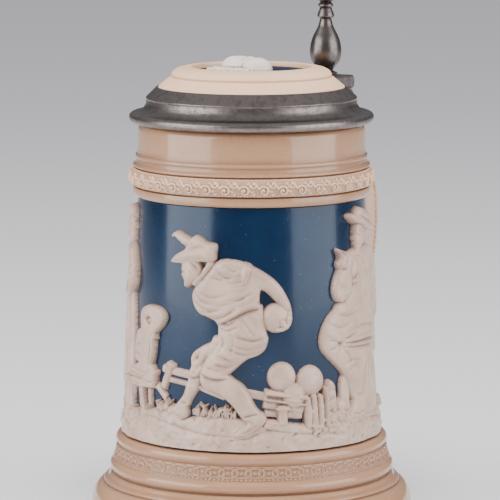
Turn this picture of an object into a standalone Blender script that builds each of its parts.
"""Half-litre relief beer stein with a hinged, ceramic-inlaid pewter lid.

Frame: metres, +Z up. The origin is the centre of the flat underside, the handle points to +Y and the
hinge pin lies along X. Azimuths round the drum are in degrees, from -Y (the front) towards +X.
"""

import math

import bmesh
import bpy
from mathutils import Matrix, Vector

MM = 0.001
COLLECTION = "beer_stein"
CUTTERS = "cutters"

# Clearances
FIT_GAP = 0.3 * MM           # between pieces that touch, such as a sprig on the drum
PIN_CLEARANCE = 0.1 * MM     # radial, hinge pin in its knuckles
KNUCKLE_CLEARANCE = 0.4 * MM  # round and beside each knuckle
SINK = 2.0 * MM              # how far a piece reaches into the one it is joined to or cut by

# Facets
TURNED_STEPS = 40
SMALL_STEPS = 20
PIN_STEPS = 24

# Mug body
BODY_HEIGHT = 146.0 * MM
MOUTH_RADIUS = 37.0 * MM
LIP_WALL = 5.0 * MM
FLOOR_THICKNESS = 10.0 * MM
INNER_CORNER = 6.0 * MM
DRUM_FLARE = 3.5 * MM        # how much wider the drum is at its foot than at its top
BASE_HEIGHT = 30.4 * MM      # the base mouldings, up to the ledge under the drum
HEAD_HEIGHT = 26.7 * MM      # the border, the mouldings over it and the collar
BASE_SPREAD = 14.2 * MM      # how far the bulge of the base stands out past the drum's foot
BULGE_DEPTH = 5.0 * MM
DESIGN_BASE_HEIGHT = 30.4    # the base mouldings are drawn for this height
SLIP_THICKNESS = 1.2 * MM
BORDER_HEIGHT = 7.6 * MM
BORDER_PROJECTION = 3.5 * MM
MOULDING_PROJECTION = 1.9 * MM

COLLAR_RADIUS = MOUTH_RADIUS + LIP_WALL
SEAT_RADIUS = COLLAR_RADIUS + 0.2 * MM   # behind the border strip
DRUM_TOP_Z = BODY_HEIGHT - HEAD_HEIGHT
DRUM_TOP_RADIUS = COLLAR_RADIUS
DRUM_FOOT_RADIUS = DRUM_TOP_RADIUS + DRUM_FLARE
DRUM_HEIGHT = DRUM_TOP_Z - BASE_HEIGHT
FILLET_HEIGHT = 3.3 * MM
BORDER_FOOT_Z = DRUM_TOP_Z + FILLET_HEIGHT
BORDER_TOP_Z = BORDER_FOOT_Z + BORDER_HEIGHT
STEP_HEIGHT = 0.7 * MM
COVE_HEIGHT = 2.2 * MM
BEAD_RADIUS = 0.85 * MM
BEAD_Z = BORDER_TOP_Z + STEP_HEIGHT + COVE_HEIGHT + BEAD_RADIUS

# Relief scene: its heights are drawn for a drum 89 mm tall and scaled to this one
DESIGN_DRUM_HEIGHT = 89.0
DESIGN_DRUM_FOOT = 30.4
SCENE_UNIT = DRUM_HEIGHT / DESIGN_DRUM_HEIGHT
SPRIG_DEPTH = 4.5 * MM
GROUND_DEPTH = 3.4 * MM
GROUND_TOP = 43.6            # scene heights
GROUND_EDGE = 1.4 * MM
SCENE_AZIMUTH = 34.0         # where the bowler's side of the drum points

# Handle
HANDLE_WIDTH = 19.0 * MM
HANDLE_THICKNESS = 9.5 * MM
HANDLE_REACH = 27.9 * MM     # centreline past the collar, at the handle's widest
HANDLE_TOP_DROP = 11.8 * MM  # upper root's centreline under the lip
HANDLE_SPAN = 81.0 * MM      # from the upper root's centreline to the lower root's
HANDLE_EDGE = 1.6 * MM
HANDLE_ROOT = 3.0 * MM       # how far the centreline starts inside the body, before it is cut to fit

# Lid
LID_GAP = FIT_GAP
RIM_OVERHANG = 3.3 * MM      # the rim's bead past the collar
BEAD_HEIGHT = 3.6 * MM
BEAD_DEPTH = 1.7 * MM
COVE_RISE = 4.8 * MM
COVE_RUN = 4.5 * MM
RIM_SLOPE_RISE = 4.6 * MM
RIM_SLOPE_RUN = 4.0 * MM
RIM_LIP = 1.3 * MM
RIM_SEAT_STEP = 1.9 * MM
INNER_RING_WALL = 3.0 * MM
INNER_RING_CLEARANCE = 0.6 * MM
INNER_RING_DIP = 2.8 * MM    # how far it reaches into the mouth
INNER_RING_EDGE = 0.6 * MM
INLAY_FLANGE = 3.0 * MM
INLAY_RISE = 7.4 * MM        # from the pewter's top edge to the inlay's flat top
INLAY_SHOULDER = 3.6 * MM    # height of its rounded upper step
INLAY_TOP_RADIUS = 23.4 * MM
RECESS_RADIUS = 21.8 * MM
DESIGN_RECESS_RADIUS = 21.8  # the recess that the lid's relief is drawn for, in mm
RECESS_DEPTH = 2.8 * MM
INLAY_WALL = 4.2 * MM
LID_SLIP_THICKNESS = 0.8 * MM
LID_RELIEF_HEIGHT = 4.4 * MM

RIM_FOOT_Z = BODY_HEIGHT + LID_GAP
BEAD_TOP_Z = RIM_FOOT_Z + BEAD_HEIGHT
RIM_RADIUS = COLLAR_RADIUS + RIM_OVERHANG
RIM_RIDGE_RADIUS = RIM_RADIUS - BEAD_DEPTH - 0.3 * MM - COVE_RUN
RIM_RIDGE_Z = BEAD_TOP_Z + COVE_RISE
RIM_TOP_Z = RIM_RIDGE_Z + RIM_SLOPE_RISE
RIM_OPENING = RIM_RIDGE_RADIUS - RIM_SLOPE_RUN
RIM_BORE = RIM_OPENING + RIM_SEAT_STEP
INLAY_RADIUS = RIM_OPENING - FIT_GAP
INLAY_TOP_Z = RIM_TOP_Z + INLAY_RISE
SEAT_Z = RIM_TOP_Z - RIM_LIP - RIM_SEAT_STEP   # underside of the pewter that holds the inlay down
FLANGE_TOP_Z = SEAT_Z - FIT_GAP
FLANGE_FOOT_Z = FLANGE_TOP_Z - INLAY_FLANGE

# Hinge and thumblift
KNUCKLE_RADIUS = 4.0 * MM
PIN_RADIUS = 1.5 * MM
KNUCKLE_COUNT = 5            # odd ones on the clasp, even ones on the lid
HINGE_WIDTH = 21.0 * MM
HINGE_STANDOFF = 5.2 * MM    # pin axis behind the rim's bead
HINGE_RISE = 5.2 * MM        # pin axis over the rim's foot
SHANK_HEIGHT = 8.6 * MM      # top of the shank over the pin axis
SHANK_TAIL = 4.6 * MM        # how far the shank reaches behind the pin axis
PLUG_HEAD_RADIUS = 3.0 * MM
PLUG_HEAD = 0.9 * MM
PLUG_RIM = 0.2 * MM
PLUG_STEM = 1.0 * MM
PLUG_STEM_RADIUS = PIN_RADIUS - 0.05 * MM
THUMBLIFT_HEIGHT = 42.0 * MM
DESIGN_LIFT_HEIGHT = 42.0    # the height that the thumblift's outline is drawn for, in mm
CLASP_WALL = 1.8 * MM
CLASP_WIDTH = 6.5 * MM
CLASP_POST = 5.4 * MM
CLASP_EDGE = 0.9 * MM
SHANK_EDGE = 0.7 * MM

HINGE_Y = RIM_RADIUS + HINGE_STANDOFF
HINGE_Z = RIM_FOOT_Z + HINGE_RISE
SHANK_TOP_Z = max(HINGE_Z + SHANK_HEIGHT, RIM_TOP_Z + 0.8 * MM)
HINGE = Vector((0.0, HINGE_Y, HINGE_Z))


# ---------------------------------------------------------------- helpers

def clear_scene():
    for obj in list(bpy.data.objects):
        bpy.data.objects.remove(obj, do_unlink=True)


def collection(name):
    made = bpy.data.collections.new(name)
    bpy.context.scene.collection.children.link(made)
    return made


def material(name, colour, roughness, metallic=0.0):
    made = bpy.data.materials.new(name)
    made.use_nodes = True
    shader = made.node_tree.nodes["Principled BSDF"]
    shader.inputs["Base Color"].default_value = (*colour, 1.0)
    shader.inputs["Roughness"].default_value = roughness
    shader.inputs["Metallic"].default_value = metallic
    return made


def add(name, mesh, home):
    obj = bpy.data.objects.new(name, mesh)
    home.objects.link(obj)
    return obj


def part(obj, finish, smooth_angle=35.0):
    """Gives a finished piece its material and smooth round faces."""
    obj.data.materials.clear()
    obj.data.materials.append(finish)
    obj.data.shade_smooth()
    obj.data.set_sharp_from_angle(angle=math.radians(smooth_angle))
    return obj


def arc(centre_r, centre_z, radius_r, radius_z, start, end, pieces):
    """Points of an elliptic arc in the (radius, height) plane.

    Its angles are in degrees, from +radius towards +height.
    """
    angles = [math.radians(start + (end - start) * i / pieces) for i in range(pieces + 1)]
    return [(centre_r + radius_r * math.cos(a), centre_z + radius_z * math.sin(a)) for a in angles]


def turned(name, profile, home, steps=TURNED_STEPS, closed=False):
    """A solid of revolution about Z.

    An open profile starts and ends on the axis. A closed one makes a ring.
    """
    mesh = bpy.data.meshes.new(name)
    edges = [(i, i + 1) for i in range(len(profile) - 1)]
    if closed:
        edges.append((len(profile) - 1, 0))
    mesh.from_pydata([(r, 0.0, z) for r, z in profile], edges, [])
    obj = add(name, mesh, home)
    screw = obj.modifiers.new("turn", "SCREW")
    screw.axis = "Z"
    screw.angle = 2.0 * math.pi
    screw.steps = steps
    screw.render_steps = steps
    screw.use_merge_vertices = True
    screw.merge_threshold = 0.00002
    return obj


def as_mesh(obj):
    """Replaces an object by the mesh that it evaluates to, in world space and welded."""
    bpy.context.view_layer.update()
    evaluated = obj.evaluated_get(bpy.context.evaluated_depsgraph_get())
    mesh = bpy.data.meshes.new_from_object(evaluated)
    mesh.transform(obj.matrix_world)
    bm = bmesh.new()
    bm.from_mesh(mesh)
    bmesh.ops.remove_doubles(bm, verts=bm.verts, dist=0.00001)
    bm.to_mesh(mesh)
    bm.free()
    name, homes = obj.name, list(obj.users_collection)
    bpy.data.objects.remove(obj, do_unlink=True)
    mesh.name = name
    return add(name, mesh, homes[0])


def poly_spline(curve, points, cyclic=False):
    spline = curve.splines.new("POLY")
    spline.points.add(len(points) - 1)
    for point, place in zip(spline.points, points):
        point.co = (*place, 1.0)
    spline.use_cyclic_u = cyclic


def plate(name, outline, thickness, home, placed=Matrix.Identity(4)):
    """A flat outline in the XY plane, thickened both ways along Z, then placed by a matrix."""
    curve = bpy.data.curves.new(name, "CURVE")
    curve.dimensions = "2D"
    curve.fill_mode = "BOTH"
    curve.extrude = thickness / 2.0
    poly_spline(curve, [(x, y, 0.0) for x, y in outline], cyclic=True)
    obj = add(name, curve, home)
    obj.matrix_world = placed
    return as_mesh(obj)


def cylinder(name, radius, start, end, home, steps=PIN_STEPS):
    """A cylinder between two points."""
    mesh = bpy.data.meshes.new(name)
    bm = bmesh.new()
    bmesh.ops.create_cone(bm, cap_ends=True, segments=steps, radius1=radius, radius2=radius,
                          depth=(end - start).length)
    turn = (end - start).to_track_quat("Z", "Y").to_matrix().to_4x4()
    bm.transform(Matrix.Translation((start + end) / 2.0) @ turn)
    bm.to_mesh(mesh)
    bm.free()
    return add(name, mesh, home)


def box(name, low, high, home):
    mesh = bpy.data.meshes.new(name)
    bm = bmesh.new()
    bmesh.ops.create_cube(bm, size=1.0)
    size = high - low
    bm.transform(Matrix.Translation((low + high) / 2.0) @ Matrix.Diagonal((*size, 1.0)))
    bm.to_mesh(mesh)
    bm.free()
    return add(name, mesh, home)


def helper(obj):
    obj.hide_render = True
    obj.display_type = "WIRE"
    return obj


def combine(obj, other, operation):
    modifier = obj.modifiers.new(f"{operation.lower()}_{other.name}", "BOOLEAN")
    modifier.operation = operation
    modifier.solver = "EXACT"
    modifier.object = helper(other)


def bevel(obj, width, segments=2, angle=40.0):
    modifier = obj.modifiers.new("edges", "BEVEL")
    modifier.width = width
    modifier.segments = segments
    modifier.limit_method = "ANGLE"
    modifier.angle_limit = math.radians(angle)
    modifier.use_clamp_overlap = True


SIDEWAYS = Matrix(((0, 0, 1, 0), (1, 0, 0, 0), (0, 1, 0, 0), (0, 0, 0, 1)))   # outline (Y, Z), thickness X


# ---------------------------------------------------------------- mug body

def drum_radius(z):
    """Outside of the blue slip at a height."""
    return DRUM_TOP_RADIUS + DRUM_FLARE * (DRUM_TOP_Z - z) / DRUM_HEIGHT


def base_mouldings():
    """The base's outline from the ledge under the drum down to the underside's edge.

    It is drawn in mm past the drum's foot, for the design height, and scaled to the base's own height.
    """
    rise = BASE_HEIGHT / DESIGN_BASE_HEIGHT
    bulge_centre = BASE_SPREAD / MM - BULGE_DEPTH / MM
    ledge = arc(3.0, 28.2, 2.2, 2.2, 90, -45, 4)
    frieze = [(4.4, 26.1), (4.7, 25.7), (5.1, 23.4), (5.9, 21.0)]
    bead = arc(5.1, 18.4, 2.4, 2.4, 60, -72, 4)
    ogee = [(7.0, 15.4), (8.2, 13.9), (9.5, 13.3)]
    fillet = [(9.75, 12.8), (9.4, 12.3)]
    bulge = arc(bulge_centre, 4.6, BULGE_DEPTH / MM, 7.6, 84, 0, 5)
    foot = arc(bulge_centre, 4.6, BULGE_DEPTH / MM, 4.6, -30, -90, 2)
    outline = ledge + frieze + bead + ogee + fillet + bulge + foot
    return [(DRUM_FOOT_RADIUS + out * MM, height * rise) for out, height in outline]


def head_mouldings():
    """The body's outline from the collar's foot down to the top of the drum."""
    step_r = COLLAR_RADIUS + MOULDING_PROJECTION
    cove_r = COLLAR_RADIUS + 0.6 * MM
    cove_top = BORDER_TOP_Z + STEP_HEIGHT + COVE_HEIGHT
    profile = arc(SEAT_RADIUS, BEAD_Z, BEAD_RADIUS, BEAD_RADIUS, 90, -60, 3)
    profile += arc(step_r, cove_top, cove_r - step_r, -COVE_HEIGHT, 0, 90, 3)
    profile += [(step_r, BORDER_TOP_Z), (SEAT_RADIUS, BORDER_TOP_Z)]
    profile += [(SEAT_RADIUS, BORDER_FOOT_Z), (step_r, BORDER_FOOT_Z)]
    profile += [(step_r, DRUM_TOP_Z + 1.0 * MM), (step_r - 0.7 * MM, DRUM_TOP_Z)]
    return profile


def mug_body(home, finish):
    recess = SLIP_THICKNESS + FIT_GAP
    inner_foot = MOUTH_RADIUS + 1.0 * MM
    lip = LIP_WALL / 2.0
    profile = [(0.0, FLOOR_THICKNESS)]
    corner = (inner_foot - INNER_CORNER, FLOOR_THICKNESS + INNER_CORNER)
    profile += arc(*corner, INNER_CORNER, INNER_CORNER, -90, 0, 3)
    profile += arc(COLLAR_RADIUS - lip, BODY_HEIGHT - lip, lip, lip, 180, 0, 6)
    profile += head_mouldings()
    profile += [(DRUM_TOP_RADIUS - recess, DRUM_TOP_Z), (DRUM_FOOT_RADIUS - recess, BASE_HEIGHT)]
    profile += base_mouldings()
    profile += [(0.0, 0.0)]
    return part(turned("mug_body", profile, home), finish)


def slip_band(home, finish):
    """The layer of coloured slip on the drum."""
    top, foot = DRUM_TOP_Z - FIT_GAP, BASE_HEIGHT + FIT_GAP
    profile = [
        (drum_radius(top) - SLIP_THICKNESS, top),
        (drum_radius(top), top),
        (drum_radius(foot), foot),
        (drum_radius(foot) - SLIP_THICKNESS, foot),
    ]
    return part(turned("drum_slip_band", profile, home, closed=True), finish)


def border_strip(home, finish):
    """The half-round border round the top of the drum."""
    inner = SEAT_RADIUS + FIT_GAP
    edge = COLLAR_RADIUS + 1.4 * MM
    half = BORDER_HEIGHT / 2.0 - FIT_GAP
    middle = BORDER_FOOT_Z + BORDER_HEIGHT / 2.0
    profile = [(inner, middle + half)]
    profile += arc(edge, middle, COLLAR_RADIUS + BORDER_PROJECTION - edge, half, 90, -90, 6)
    profile += [(inner, middle - half)]
    return part(turned("border_strip", profile, home, closed=True), finish)


# ---------------------------------------------------------------- handle

def bezier(a, b, c, d, pieces):
    points = []
    for i in range(pieces + 1):
        t = i / pieces
        s = 1.0 - t
        weights = (s * s * s, 3 * s * s * t, 3 * s * t * t, t * t * t)
        points.append(tuple(sum(w * p[k] for w, p in zip(weights, (a, b, c, d))) for k in (0, 1)))
    return points


def handle_centreline(pieces=8):
    """(Y, Z) points down the ear of the handle, from inside the collar to inside the drum."""
    top_z = BODY_HEIGHT - HANDLE_TOP_DROP
    foot_z = top_z - HANDLE_SPAN
    belly_y = COLLAR_RADIUS + HANDLE_REACH
    belly_z = foot_z + 0.65 * HANDLE_SPAN
    root_y = COLLAR_RADIUS - HANDLE_ROOT
    foot_y = drum_radius(foot_z) - HANDLE_ROOT
    upper = bezier((root_y, top_z), (root_y + 0.66 * HANDLE_REACH, top_z + 0.6 * MM),
                   (belly_y, belly_z + 0.22 * HANDLE_SPAN), (belly_y, belly_z), pieces)
    lower = bezier((belly_y, belly_z), (belly_y, belly_z - 0.25 * HANDLE_SPAN),
                   (foot_y + 0.68 * HANDLE_REACH, foot_z + 0.13 * HANDLE_SPAN), (foot_y, foot_z), pieces)
    return upper + lower[1:]


def handle_outline(grow=0.0):
    """Closed outline of the handle seen from its side, grown by a clearance."""
    line = [Vector(p) for p in handle_centreline()]
    half = HANDLE_THICKNESS / 2.0 + grow
    outer, inner = [], []
    for i, point in enumerate(line):
        along = (line[min(i + 1, len(line) - 1)] - line[max(i - 1, 0)]).normalized()
        normal = Vector((-along.y, along.x))
        outer.append(tuple(point + half * normal))
        inner.append(tuple(point - half * normal))
    return outer + inner[::-1]


def body_envelope(home):
    """Everything the handle meets, grown by the fit gap."""
    border_r = COLLAR_RADIUS + BORDER_PROJECTION + FIT_GAP
    bead_top = BEAD_Z + BEAD_RADIUS + FIT_GAP
    top = BODY_HEIGHT + SINK
    collar = SEAT_RADIUS + FIT_GAP
    profile = [(0.0, top), (collar, top), (collar, bead_top)]
    profile += [(border_r, bead_top), (border_r, DRUM_TOP_Z)]
    profile += [(drum_radius(z) + FIT_GAP, z) for z in (DRUM_TOP_Z, BASE_HEIGHT)]
    profile += [(0.0, BASE_HEIGHT)]
    return as_mesh(turned("cut_body_envelope", profile, home))


def handle_section(home):
    """The handle's rounded oblong section, as a closed curve that the handle's curve is bevelled with."""
    half_width, half_depth = HANDLE_WIDTH / 2.0 - HANDLE_EDGE, HANDLE_THICKNESS / 2.0 - HANDLE_EDGE
    points = []
    for k, (x, y) in enumerate(((1, 1), (-1, 1), (-1, -1), (1, -1))):
        points += arc(x * half_width, y * half_depth, HANDLE_EDGE, HANDLE_EDGE, 90 * k, 90 * k + 90, 2)
    curve = bpy.data.curves.new("handle_section", "CURVE")
    curve.dimensions = "2D"
    poly_spline(curve, [(x, y, 0.0) for x, y in reversed(points)], cyclic=True)
    return helper(add("handle_section", curve, home))


def handle(home, cutters, finish):
    curve = bpy.data.curves.new("handle", "CURVE")
    curve.dimensions = "3D"
    curve.bevel_mode = "OBJECT"
    curve.bevel_object = handle_section(cutters)
    curve.use_fill_caps = True
    poly_spline(curve, [(0.0, y, z) for y, z in handle_centreline()])
    obj = as_mesh(add("handle", curve, home))
    combine(obj, body_envelope(cutters), "DIFFERENCE")
    return part(obj, finish)


# ---------------------------------------------------------------- relief scene

def scene_z(height):
    """Height over the underside of a scene height, which is drawn for the design drum."""
    return BASE_HEIGHT + (height - DESIGN_DRUM_FOOT) * SCENE_UNIT


def sprig(name, outline, home, finish, depth=SPRIG_DEPTH):
    """A moulded relief laid round the drum.

    Its outline is in (degrees from the scene's middle, scene height).
    """
    facet = 360.0 / TURNED_STEPS
    flat = [(math.radians(a + SCENE_AZIMUTH) * DRUM_FOOT_RADIUS, scene_z(h)) for a, h in outline]
    obj = plate(name, flat, depth, home)
    bm = bmesh.new()
    bm.from_mesh(obj.data)
    low = math.floor((min(a for a, _ in outline) + SCENE_AZIMUTH) / facet)
    high = math.ceil((max(a for a, _ in outline) + SCENE_AZIMUTH) / facet)
    for k in range(low, high + 1):
        x = math.radians(k * facet) * DRUM_FOOT_RADIUS
        geometry = bm.verts[:] + bm.edges[:] + bm.faces[:]
        bmesh.ops.bisect_plane(bm, geom=geometry, dist=1e-7, plane_co=(x, 0, 0), plane_no=(1, 0, 0))
    for vert in bm.verts:
        azimuth = vert.co.x / DRUM_FOOT_RADIUS
        radius = drum_radius(vert.co.y) + FIT_GAP + depth / 2.0 + vert.co.z
        vert.co = (radius * math.sin(azimuth), -radius * math.cos(azimuth), vert.co.y)
    bm.to_mesh(obj.data)
    bm.free()
    return part(obj, finish)


BOWLER = (
    (-37.5, 108.5), (-38.5, 98.8), (-33.0, 97.0), (-34.5, 94.0), (-30.0, 89.3), (-28.5, 84.0), (-23.0, 80.0),
    (-16.0, 77.0), (-16.0, 72.5), (-27.0, 68.0), (-28.5, 59.5), (-31.5, 47.0), (-36.0, 44.0), (-25.0, 44.0),
    (-21.0, 56.0), (-9.0, 51.0), (-4.0, 44.0), (4.5, 44.0), (-9.5, 60.0), (-4.0, 64.5), (3.0, 68.0),
    (5.5, 73.0), (10.5, 74.2), (15.5, 75.5), (18.0, 81.0), (13.8, 90.5), (8.0, 96.0), (0.5, 99.5),
    (-6.5, 100.5), (-16.5, 101.0), (-17.0, 105.5), (-24.0, 108.5),
)
CHAIR = (
    (-54.0, 80.0), (-58.5, 77.0), (-57.0, 68.0), (-57.5, 57.0), (-63.0, 54.0), (-62.0, 44.0), (-40.0, 44.0),
    (-43.0, 54.0), (-32.5, 53.0), (-32.0, 57.0), (-45.0, 60.0), (-47.5, 69.0), (-43.5, 74.0), (-46.0, 79.0),
)
BALL_RACK = (
    (6.5, 44.0), (39.5, 44.0), (39.0, 55.0), (33.5, 56.5), (31.0, 60.0), (26.0, 61.0), (21.0, 58.5),
    (17.5, 62.0), (12.0, 63.0), (8.0, 60.0), (6.5, 53.0),
)
LEANING_FIGURE = (
    (62.5, 116.5), (50.0, 115.5), (53.0, 108.0), (54.0, 102.5), (45.0, 103.0), (42.0, 88.0), (42.0, 78.0),
    (33.5, 70.0), (34.5, 66.0), (45.0, 58.0), (44.0, 44.0), (99.0, 44.0), (98.0, 60.0), (100.0, 76.0),
    (94.0, 88.0), (86.0, 103.0), (74.0, 114.0),
)
STANDING_FIGURE = (
    (-74.0, 117.5), (-80.0, 113.0), (-88.0, 101.0), (-93.0, 84.0), (-92.0, 72.0), (-98.0, 44.0), (-70.0, 44.0),
    (-68.0, 60.0), (-68.5, 96.0), (-69.0, 110.0),
)
OAK_TREE = (
    (110.0, 44.0), (124.0, 44.0), (121.5, 64.0), (127.0, 72.0), (129.0, 90.0), (125.0, 106.0), (115.0, 110.0),
    (107.0, 100.0), (106.0, 82.0), (111.0, 70.0), (112.5, 62.0),
)


def skittles_outline(count=5, first=-148.0, pitch=8.0):
    """A row of ninepins seen from the front, standing side by side."""
    half_foot, half_neck, half_head = 2.6, 1.4, 2.0
    outline = [(first - half_foot, 44.0), (first + (count - 1) * pitch + half_foot, 44.0)]
    for k in reversed(range(count)):
        middle = first + k * pitch
        outline += [(middle + 3.6, 55.0), (middle + half_neck, 64.0)]
        outline += [(middle + half_head, 68.0), (middle, 71.0)]
        outline += [(middle - half_head, 68.0), (middle - half_neck, 64.0), (middle - 3.6, 55.0)]
    return outline


def ground_strip(home, finish):
    """The ground that the figures stand on, all the way round."""
    foot, top = BASE_HEIGHT + FIT_GAP, scene_z(GROUND_TOP)
    inner_foot, inner_top = drum_radius(foot) + FIT_GAP, drum_radius(top) + FIT_GAP
    profile = [
        (inner_top, top),
        (inner_top + GROUND_EDGE, top),
        (inner_top + GROUND_DEPTH, (top + foot) / 2.0),
        (inner_foot + GROUND_DEPTH, foot),
        (inner_foot, foot),
    ]
    return part(turned("relief_ground", profile, home, closed=True), finish)


# ---------------------------------------------------------------- lid

def rim_outside(grow=0.0):
    """The rim's outer side from its top edge down to its foot."""
    profile = [(RIM_OPENING + 0.2 * MM + grow, RIM_TOP_Z + grow)]
    profile += [(RIM_RIDGE_RADIUS - 1.3 * MM + grow, RIM_RIDGE_Z + 2.2 * MM + grow)]
    profile += [(RIM_RIDGE_RADIUS + 0.3 * MM + grow, RIM_RIDGE_Z + 0.6 * MM + grow)]
    profile += arc(RIM_RIDGE_RADIUS + COVE_RUN + grow, RIM_RIDGE_Z + grow, -COVE_RUN, -COVE_RISE, 0, 90, 4)
    profile += arc(RIM_RADIUS - BEAD_DEPTH + grow, BEAD_TOP_Z - BEAD_HEIGHT / 2.0, BEAD_DEPTH,
                   BEAD_HEIGHT / 2.0 + grow, 80, -90, 5)
    return profile


def lid_rim(home, finish):
    profile = rim_outside()
    profile += [(RIM_BORE, RIM_FOOT_Z), (RIM_BORE, SEAT_Z)]
    profile += [(RIM_OPENING, SEAT_Z + RIM_SEAT_STEP), (RIM_OPENING, RIM_TOP_Z - 0.1 * MM)]
    return part(turned("lid_rim", profile, home, closed=True), finish)


def lid_inner_ring(home, finish):
    """The soldered ring that keeps the inlay up in the rim. Its lower part centres the lid in the mouth."""
    upper = RIM_BORE - FIT_GAP
    lower = MOUTH_RADIUS - INNER_RING_CLEARANCE
    inner = min(upper, lower) - INNER_RING_WALL
    top, foot = FLANGE_FOOT_Z - FIT_GAP, BODY_HEIGHT - INNER_RING_DIP
    edge = INNER_RING_EDGE
    profile = [(inner, top), (upper, top), (upper, RIM_FOOT_Z)]
    profile += [(lower, BODY_HEIGHT - edge), (lower, foot + edge)]
    profile += [(lower - edge, foot), (inner + edge, foot), (inner, foot + edge)]
    return part(turned("lid_inner_ring", profile, home, closed=True), finish)


def lid_inlay(home, finish):
    recess_z = INLAY_TOP_Z - RECESS_DEPTH
    shoulder = INLAY_TOP_RADIUS
    step_r = INLAY_RADIUS - 4.9 * MM
    flange = RIM_BORE - FIT_GAP
    under_z = recess_z - INLAY_WALL
    profile = [(0.0, recess_z), (RECESS_RADIUS, recess_z), (RECESS_RADIUS + 0.3 * MM, INLAY_TOP_Z)]
    profile += [(shoulder, INLAY_TOP_Z)]
    step_z = INLAY_TOP_Z - INLAY_SHOULDER
    profile += arc(shoulder, step_z + 0.6 * MM, step_r - shoulder, INLAY_SHOULDER - 0.7 * MM, 68, 8, 3)
    profile += [(step_r, step_z), (step_r + 0.5 * MM, step_z - 0.2 * MM)]
    profile += [(INLAY_RADIUS, RIM_TOP_Z), (INLAY_RADIUS, FLANGE_TOP_Z + RIM_SEAT_STEP)]
    profile += [(flange, FLANGE_TOP_Z), (flange, FLANGE_FOOT_Z)]
    profile += [(flange - 4.0 * MM, FLANGE_FOOT_Z), (flange - 6.5 * MM, FLANGE_FOOT_Z + 3.4 * MM)]
    profile += [(shoulder, under_z), (0.0, under_z)]
    return part(turned("lid_inlay", profile, home), finish)


def lid_slip_disc(home, finish):
    floor_z = INLAY_TOP_Z - RECESS_DEPTH + FIT_GAP
    start, end = Vector((0, 0, floor_z)), Vector((0, 0, floor_z + LID_SLIP_THICKNESS))
    return part(cylinder("lid_slip_disc", RECESS_RADIUS - FIT_GAP, start, end, home, TURNED_STEPS), finish)


LID_LEAF = [
    (-14.0, -3.0), (-9.0, -6.5), (0.0, -7.5), (8.0, -6.0), (13.5, -1.0), (9.0, 5.0), (1.0, 7.5), (-9.0, 4.5),
]
LID_BALLS = [(-5.5, 0.5, 6.6, 1.0), (1.6, -0.5, 5.6, 0.93)]   # x, y and radius in mm, share of the height


def lid_relief(home, cutters, finish):
    """Two bowling balls lying on a leafy twig."""
    foot_z = INLAY_TOP_Z - RECESS_DEPTH + 2.0 * FIT_GAP + LID_SLIP_THICKNESS
    spread = RECESS_RADIUS / (DESIGN_RECESS_RADIUS * MM)
    outline = [(x * MM * spread, y * MM * spread) for x, y in LID_LEAF]
    twig = 1.2 * MM
    turn = Matrix.Rotation(math.radians(SCENE_AZIMUTH), 4, "Z")
    placed = turn @ Matrix.Translation((-3.0 * MM * spread, 0.0, foot_z + twig / 2.0))
    obj = plate("lid_relief", outline, twig, home, placed)
    for k, (x, y, radius, height) in enumerate(LID_BALLS):
        mesh = bpy.data.meshes.new(f"ball_{k}")
        bm = bmesh.new()
        bmesh.ops.create_uvsphere(bm, u_segments=16, v_segments=10, radius=1.0)
        wide = radius * MM * spread
        size = Matrix.Diagonal((wide, wide, height * LID_RELIEF_HEIGHT, 1.0))
        bm.transform(turn @ Matrix.Translation((x * MM * spread, y * MM * spread, foot_z)) @ size)
        everything = bm.verts[:] + bm.edges[:] + bm.faces[:]
        cut_z = foot_z + twig / 2.0
        bmesh.ops.bisect_plane(bm, geom=everything, dist=1e-7, clear_inner=True,
                               plane_co=(0, 0, cut_z), plane_no=(0, 0, 1))
        bmesh.ops.holes_fill(bm, edges=bm.edges)
        bm.to_mesh(mesh)
        bm.free()
        combine(obj, add(f"join_ball_{k}", mesh, cutters), "UNION")
    return part(obj, finish)


# ---------------------------------------------------------------- hinge

def knuckle_span(index):
    """The X range of a knuckle, counted from 0 at -X."""
    pitch = HINGE_WIDTH / KNUCKLE_COUNT
    return -HINGE_WIDTH / 2.0 + index * pitch, -HINGE_WIDTH / 2.0 + (index + 1) * pitch


def barrel(name, radius, low, high, home, steps=SMALL_STEPS):
    """A cylinder on the hinge axis between two X positions."""
    return cylinder(name, radius, HINGE + Vector((low, 0, 0)), HINGE + Vector((high, 0, 0)), home, steps)


def add_knuckles(obj, mine, cutters):
    """Joins a barrel on the hinge axis, clears the other leaf's knuckles from it and bores the pin hole."""
    half = KNUCKLE_CLEARANCE / 2.0
    own = [knuckle_span(k) for k in range(KNUCKLE_COUNT) if k % 2 == mine]
    ends = half if mine == 0 else -half
    start, end = own[0][0] + ends, own[-1][1] - ends
    combine(obj, barrel(f"join_{obj.name}", KNUCKLE_RADIUS, start, end, cutters), "UNION")
    for k in range(KNUCKLE_COUNT):
        if k % 2 == mine:
            continue
        low, high = knuckle_span(k)
        start = low - (SINK if k == 0 else half)
        end = high + (SINK if k == KNUCKLE_COUNT - 1 else half)
        cutter = barrel(f"cut_{obj.name}_{k}", KNUCKLE_RADIUS + KNUCKLE_CLEARANCE, start, end, cutters)
        combine(obj, cutter, "DIFFERENCE")
    reach = HINGE_WIDTH / 2.0 + SINK
    bore = barrel(f"cut_{obj.name}_bore", PIN_RADIUS + PIN_CLEARANCE, -reach, reach, cutters, PIN_STEPS)
    combine(obj, bore, "DIFFERENCE")


def rim_envelope(home):
    """The rim with its fit gap, filled in, which the shank is shaped to."""
    profile = [(0.0, RIM_TOP_Z + FIT_GAP)] + rim_outside(FIT_GAP) + [(0.0, RIM_FOOT_Z - FIT_GAP)]
    return as_mesh(turned("cut_rim_envelope", profile, home))


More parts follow.
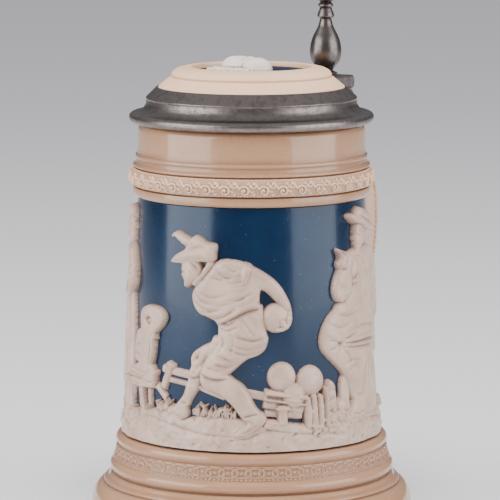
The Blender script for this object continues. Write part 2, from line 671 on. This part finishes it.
def lid_shank(home, cutters, finish):
    """The strap over the back of the rim that carries the lid's knuckles and the thumblift."""
    front = RIM_OPENING + 3.0 * MM
    tail = HINGE_Y + SHANK_TAIL
    outline = [
        (front, RIM_FOOT_Z + SINK),
        (HINGE_Y - 3.0 * MM, HINGE_Z - 1.2 * MM),
        (HINGE_Y, HINGE_Z + 1.5 * MM),
        (tail, HINGE_Z + KNUCKLE_RADIUS + 0.8 * MM),
        (tail + 0.3 * MM, SHANK_TOP_Z - 2.2 * MM),
        (tail - 0.7 * MM, SHANK_TOP_Z),
        (front + 5.0 * MM, SHANK_TOP_Z),
        (front + 0.4 * MM, RIM_TOP_Z),
    ]
    obj = plate("lid_shank", outline, HINGE_WIDTH, home, SIDEWAYS)
    bevel(obj, SHANK_EDGE, segments=1)
    combine(obj, rim_envelope(cutters), "DIFFERENCE")
    add_knuckles(obj, 1, cutters)
    return part(obj, finish)


def thumblift(home, finish):
    """A turned urn with a vase neck and a ball finial."""
    foot_z = SHANK_TOP_Z + FIT_GAP
    k = THUMBLIFT_HEIGHT / (DESIGN_LIFT_HEIGHT * MM)
    shape = (
        (0.0, 42.0), (1.1, 41.6), (1.5, 40.6), (1.0, 39.6),
        (2.4, 38.6), (4.7, 36.2), (5.5, 33.0), (4.9, 30.0), (3.6, 28.2),
        (2.0, 27.2), (2.9, 26.3), (2.9, 25.7), (2.2, 25.0), (3.25, 22.2), (3.2, 21.6), (2.1, 21.0),
        (2.9, 18.0), (3.3, 17.2), (5.2, 13.2), (6.05, 8.6), (5.4, 4.9), (2.9, 1.5), (2.8, 1.1),
        (4.6, 0.3), (4.6, 0.0),
    )
    profile = [(r * MM * k, foot_z + z * MM * k) for r, z in shape] + [(0.0, foot_z)]
    obj = turned("thumblift", profile, home, steps=SMALL_STEPS)
    obj.location.y = HINGE_Y
    return part(obj, finish)


def clasp_span():
    """The Y range of the band round the handle, under the hinge."""
    start = HINGE_Y - CLASP_WIDTH / 2.0
    return start, start + CLASP_WIDTH


def handle_z_at(y):
    """Height of the handle's upper centreline where it passes a Y position."""
    line = handle_centreline(pieces=40)
    return min(line[:40], key=lambda p: abs(p[0] - y))[1]


def handle_clasp(home, cutters, finish):
    """The pewter band round the top of the handle, its post and the three fixed knuckles."""
    start, end = clasp_span()
    half = HANDLE_WIDTH / 2.0 + FIT_GAP + CLASP_WALL
    reach = HANDLE_THICKNESS / 2.0 + FIT_GAP + CLASP_WALL
    top, foot = handle_z_at(start) + reach, handle_z_at(end) - reach
    obj = box("handle_clasp", Vector((-half, start, foot)), Vector((half, end, top)), home)
    bevel(obj, CLASP_EDGE)
    hole = plate("cut_clasp_hole", handle_outline(FIT_GAP), HANDLE_WIDTH + 2.0 * FIT_GAP, cutters, SIDEWAYS)
    combine(obj, hole, "DIFFERENCE")
    post_half = Vector((HINGE_WIDTH / 2.0 - KNUCKLE_CLEARANCE, CLASP_POST / 2.0, 0.0))
    middle = Vector((0.0, HINGE_Y, 0.0))
    low = middle - post_half + Vector((0, 0, top - CLASP_WALL / 2.0))
    high = middle + post_half + Vector((0, 0, HINGE_Z))
    combine(obj, box("join_clasp_post", low, high, cutters), "UNION")
    add_knuckles(obj, 0, cutters)
    return part(obj, finish)


def hinge_pin(home, finish):
    reach = Vector((HINGE_WIDTH / 2.0 - PLUG_STEM - FIT_GAP, 0, 0))
    return part(cylinder("hinge_pin", PIN_RADIUS, HINGE - reach, HINGE + reach, home), finish)


def pin_plug(name, side, home, finish):
    """A domed plug that closes the end of the pin's bore."""
    face = HINGE_WIDTH / 2.0 - KNUCKLE_CLEARANCE / 2.0
    stem_end = face - PLUG_STEM + FIT_GAP
    head_z = face + FIT_GAP
    dome_z = head_z + PLUG_RIM
    profile = [(0.0, head_z + PLUG_HEAD)]
    profile += arc(0.0, dome_z, PLUG_HEAD_RADIUS, PLUG_HEAD - PLUG_RIM, 67.5, 0, 3)
    profile += [(PLUG_HEAD_RADIUS, head_z), (PLUG_STEM_RADIUS, head_z)]
    profile += [(PLUG_STEM_RADIUS, stem_end), (0.0, stem_end)]
    obj = turned(name, profile, home, steps=PIN_STEPS)
    obj.rotation_euler.y = math.radians(90.0 * side)
    obj.location = HINGE
    return part(obj, finish)


# ---------------------------------------------------------------- assembly

def hang(pieces, home):
    """Parents the lid's pieces to an empty on the hinge axis, where they are."""
    axis = bpy.data.objects.new("lid_hinge_axis", None)
    axis.location = HINGE
    home.objects.link(axis)
    bpy.context.view_layer.update()
    for obj in pieces:
        obj.parent = axis
        obj.matrix_parent_inverse = axis.matrix_world.inverted()


def main():
    clear_scene()
    home, cutters = collection(COLLECTION), collection(CUTTERS)
    cream = material("cream_stoneware", (0.70, 0.53, 0.38), 0.35)
    white = material("white_relief_clay", (0.62, 0.57, 0.53), 0.5)
    blue = material("blue_slip", (0.02, 0.08, 0.19), 0.3)
    pewter = material("pewter", (0.23, 0.22, 0.21), 0.42, 1.0)
    steel = material("steel", (0.45, 0.45, 0.45), 0.3, 1.0)

    mug_body(home, cream)
    slip_band(home, blue)
    border_strip(home, cream)
    handle(home, cutters, cream)
    ground_strip(home, white)
    sprig("relief_bowler", BOWLER, home, white)
    sprig("relief_chair", CHAIR, home, white)
    sprig("relief_ball_rack", BALL_RACK, home, white)
    sprig("relief_leaning_figure", LEANING_FIGURE, home, white)
    sprig("relief_standing_figure", STANDING_FIGURE, home, white)
    sprig("relief_oak_tree", OAK_TREE, home, white)
    sprig("relief_skittles", skittles_outline(), home, white)
    handle_clasp(home, cutters, pewter)
    hinge_pin(home, steel)
    pin_plug("pin_plug_right", 1, home, pewter)
    pin_plug("pin_plug_left", -1, home, pewter)
    lid = [
        lid_rim(home, pewter),
        lid_inner_ring(home, pewter),
        lid_inlay(home, cream),
        lid_slip_disc(home, blue),
        lid_relief(home, cutters, white),
        lid_shank(home, cutters, pewter),
        thumblift(home, pewter),
    ]
    hang(lid, home)


main()
